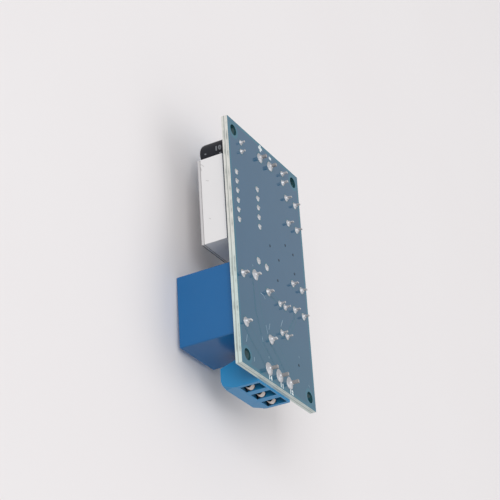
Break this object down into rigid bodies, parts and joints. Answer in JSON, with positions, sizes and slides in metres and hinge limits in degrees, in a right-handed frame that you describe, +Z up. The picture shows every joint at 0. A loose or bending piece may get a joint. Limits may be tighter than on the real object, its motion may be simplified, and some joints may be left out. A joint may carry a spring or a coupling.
{
  "type": "cycle timer relay module",
  "caption": "Bare circuit board timer with a numeric display, a cube relay, screw terminals at both ends, push buttons and corner fixing holes.",
  "frame": {"origin": "centre of the four fixing holes, on the soldered face of the board", "axes": "+X along the board towards the output terminal, +Y out of the soldered face, +Z up across the board, so the digits read upright from -Y"},
  "size_m": [0.0646, 0.0189, 0.036],
  "materials": {
    "board_laminate": "glossy blue solder mask on glass-epoxy laminate",
    "solder": "bright solder fillets",
    "tinned_lead": "tinned copper or steel leads",
    "display_white": "moulded white polycarbonate",
    "display_film": "dark printed face",
    "display_bars": "milky epoxy light bars",
    "potting_resin": "cast epoxy",
    "can_aluminium": "drawn aluminium can",
    "sleeve_black": "shrunk vinyl sleeve",
    "bung_rubber": "moulded rubber seal",
    "relay_blue": "moulded blue polyester",
    "soft_iron": "plated soft iron",
    "bobbin_plastic": "moulded nylon",
    "copper_wire": "enamelled copper winding",
    "contact_metal": "phosphor bronze with silver buttons",
    "terminal_blue": "moulded blue nylon",
    "clamp_metal": "nickel-plated steel and brass",
    "button_black": "moulded black nylon",
    "button_steel": "stamped stainless steel",
    "lamp_red": "tinted clear epoxy",
    "ceramic_tan": "dipped ceramic",
    "resistor_tan": "lacquered carbon film",
    "epoxy_black": "moulded black epoxy"
  },
  "bodies": {
    "module": {"circuit_board": "board_laminate", "solder_joints": "solder", "display_shell": "display_white", "display_face_film": "display_film", "display_light_bars": "display_bars", "display_resin": "potting_resin", "display_leads": "tinned_lead", "capacitor_can": "can_aluminium", "capacitor_sleeve": "sleeve_black", "capacitor_bung": "bung_rubber", "capacitor_leads": "tinned_lead", "relay_cover": "relay_blue", "relay_base": "relay_blue", "relay_yoke": "soft_iron", "relay_bobbin": "bobbin_plastic", "relay_coil": "copper_wire", "relay_core": "soft_iron", "relay_coil_leads": "tinned_lead", "relay_closed_contact": "contact_metal", "relay_open_contact": "contact_metal", "output_terminal_body": "terminal_blue", "output_clamps": "clamp_metal", "output_wire_guards": "clamp_metal", "input_terminal_body": "terminal_blue", "input_clamps": "clamp_metal", "input_wire_guards": "clamp_metal", "button_1_base": "button_black", "button_1_cover": "button_steel", "button_1_dome": "button_steel", "button_1_leads": "tinned_lead", "button_2_base": "button_black", "button_2_cover": "button_steel", "button_2_dome": "button_steel", "button_2_leads": "tinned_lead", "lamp_lens": "lamp_red", "lamp_leads": "tinned_lead", "disc_capacitor": "ceramic_tan", "disc_capacitor_leads": "tinned_lead", "resistor_body": "resistor_tan", "resistor_leads": "tinned_lead", "diode_body": "epoxy_black", "diode_leads": "tinned_lead", "controller_body": "epoxy_black", "controller_leads": "tinned_lead", "regulator_body": "epoxy_black", "regulator_leads": "tinned_lead", "transistor_body": "epoxy_black", "transistor_leads": "tinned_lead", "chip_resistors": "epoxy_black", "chip_capacitors": "ceramic_tan", "chip_end_caps": "tinned_lead"},
    "button_1": {"button_1_plunger": "button_black"},
    "button_2": {"button_2_plunger": "button_black"},
    "output_screw_a": {"output_screw_1": "clamp_metal"},
    "output_screw_b": {"output_screw_2": "clamp_metal"},
    "output_screw_c": {"output_screw_3": "clamp_metal"},
    "input_screw_a": {"input_screw_1": "clamp_metal"},
    "input_screw_b": {"input_screw_2": "clamp_metal"},
    "armature": {"relay_armature": "soft_iron", "relay_contact_spring": "contact_metal"}
  },
  "joints": [
    {"name": "button_1_press", "type": "slide", "parent": "module", "child": "button_1", "axis": [0, 1, 0], "range_m": [0, 0.00025], "stiffness_N_per_m": 6000},
    {"name": "button_2_press", "type": "slide", "parent": "module", "child": "button_2", "axis": [0, 1, 0], "range_m": [0, 0.00025], "stiffness_N_per_m": 6000},
    {"name": "output_screw_a_turn", "type": "hinge", "parent": "module", "child": "output_screw_a", "pos_m": [0.0291, -0.0082, 0.00508], "axis": [0, -1, 0], "range_deg": [-630, 0]},
    {"name": "output_screw_b_turn", "type": "hinge", "parent": "module", "child": "output_screw_b", "pos_m": [0.0291, -0.0082, 0], "axis": [0, -1, 0], "range_deg": [-630, 0]},
    {"name": "output_screw_c_turn", "type": "hinge", "parent": "module", "child": "output_screw_c", "pos_m": [0.0291, -0.0082, -0.00508], "axis": [0, -1, 0], "range_deg": [-630, 0]},
    {"name": "input_screw_a_turn", "type": "hinge", "parent": "module", "child": "input_screw_a", "pos_m": [-0.0279, -0.0082, 0.00214], "axis": [0, -1, 0], "range_deg": [-630, 0]},
    {"name": "input_screw_b_turn", "type": "hinge", "parent": "module", "child": "input_screw_b", "pos_m": [-0.0279, -0.0082, -0.00294], "axis": [0, -1, 0], "range_deg": [-630, 0]},
    {"name": "armature_swing", "type": "hinge", "parent": "module", "child": "armature", "pos_m": [0.00775, -0.01315, 0.0089], "axis": [0, 0, 1], "range_deg": [0, 3], "stiffness_Nm_per_rad": 0.05}
  ]
}
